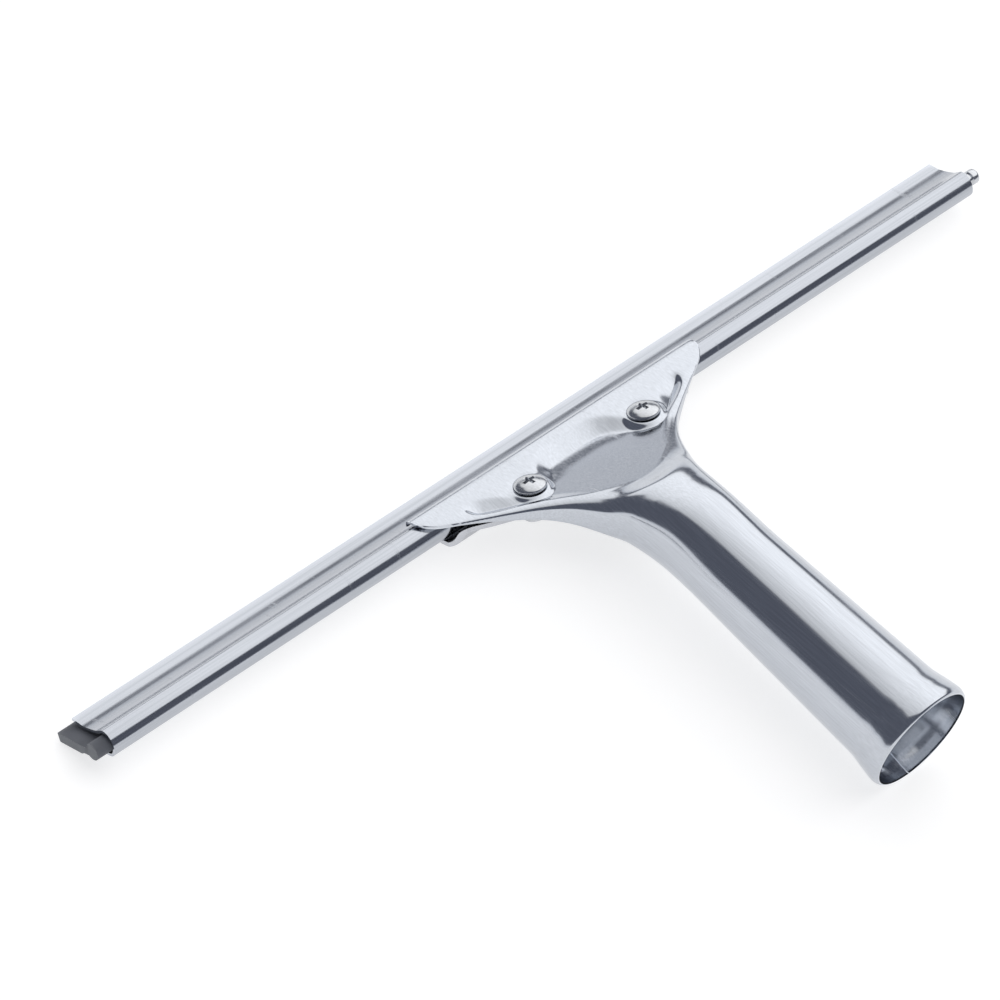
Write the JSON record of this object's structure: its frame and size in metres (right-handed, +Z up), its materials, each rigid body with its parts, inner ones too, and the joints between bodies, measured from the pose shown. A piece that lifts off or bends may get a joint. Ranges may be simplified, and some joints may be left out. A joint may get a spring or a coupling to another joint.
{
  "type": "window cleaning squeegee",
  "caption": "Hand squeegee: a long sheet channel holds a rubber blade and is clamped by two screws in a fanned tubular steel handle with a flared mouth.",
  "frame": {"origin": "centre of the outline's underside, on the surface that the blade's front edge and the handle's mouth rest on", "axes": "+X along the channel, with the rubber clip at the +X end; +Y towards the blade and away from the handle's mouth; +Z up, away from the surface that the squeegee lies on"},
  "size_m": [0.36, 0.161, 0.0367],
  "materials": {
    "handle_steel": "polished stainless",
    "jaw_steel": "satin stainless",
    "screw_steel": "bright stainless",
    "channel_steel": "fine brushed stainless",
    "blade_rubber": "matte dark grey",
    "clip_steel": "bright stainless"
  },
  "bodies": {
    "handle": {"handle_shell": "handle_steel"},
    "jaw": {"lower_jaw": "jaw_steel", "clamp_nut_left": "screw_steel", "clamp_nut_right": "screw_steel"},
    "screw_left": {"clamp_screw_left": "screw_steel"},
    "screw_right": {"clamp_screw_right": "screw_steel"},
    "channel": {"channel": "channel_steel"},
    "rubber": {"rubber_blade": "blade_rubber"},
    "clip": {"rubber_clip": "clip_steel"}
  },
  "joints": [
    {"name": "screw_left_turn", "type": "hinge", "parent": "handle", "child": "screw_left", "pos_m": [-0.0231, 0.05624, 0.01687], "axis": [0, 0.4019, 0.9157], "range_deg": [0, 675]},
    {"name": "screw_right_turn", "type": "hinge", "parent": "handle", "child": "screw_right", "pos_m": [0.0231, 0.05624, 0.01687], "axis": [0, 0.4019, 0.9157], "range_deg": [0, 675]},
    {"name": "jaw_open", "type": "slide", "parent": "handle", "child": "jaw", "axis": [0, -0.4019, -0.9157], "range_m": [0, 0.0015]},
    {"name": "channel_slide", "type": "slide", "parent": "handle", "child": "channel", "axis": [1, 0, 0], "range_m": [-0.24, 0.24]},
    {"name": "rubber_slide", "type": "slide", "parent": "channel", "child": "rubber", "axis": [-1, 0, 0], "range_m": [0, 0.355]},
    {"name": "clip_pull", "type": "slide", "parent": "channel", "child": "clip", "axis": [1, 0, 0], "range_m": [0, 0.012]}
  ],
  "couplings": [
    {"joint": "screw_left_turn", "follows": "jaw_open", "rad_per_m": 7854},
    {"joint": "screw_right_turn", "follows": "jaw_open", "rad_per_m": 7854}
  ]
}
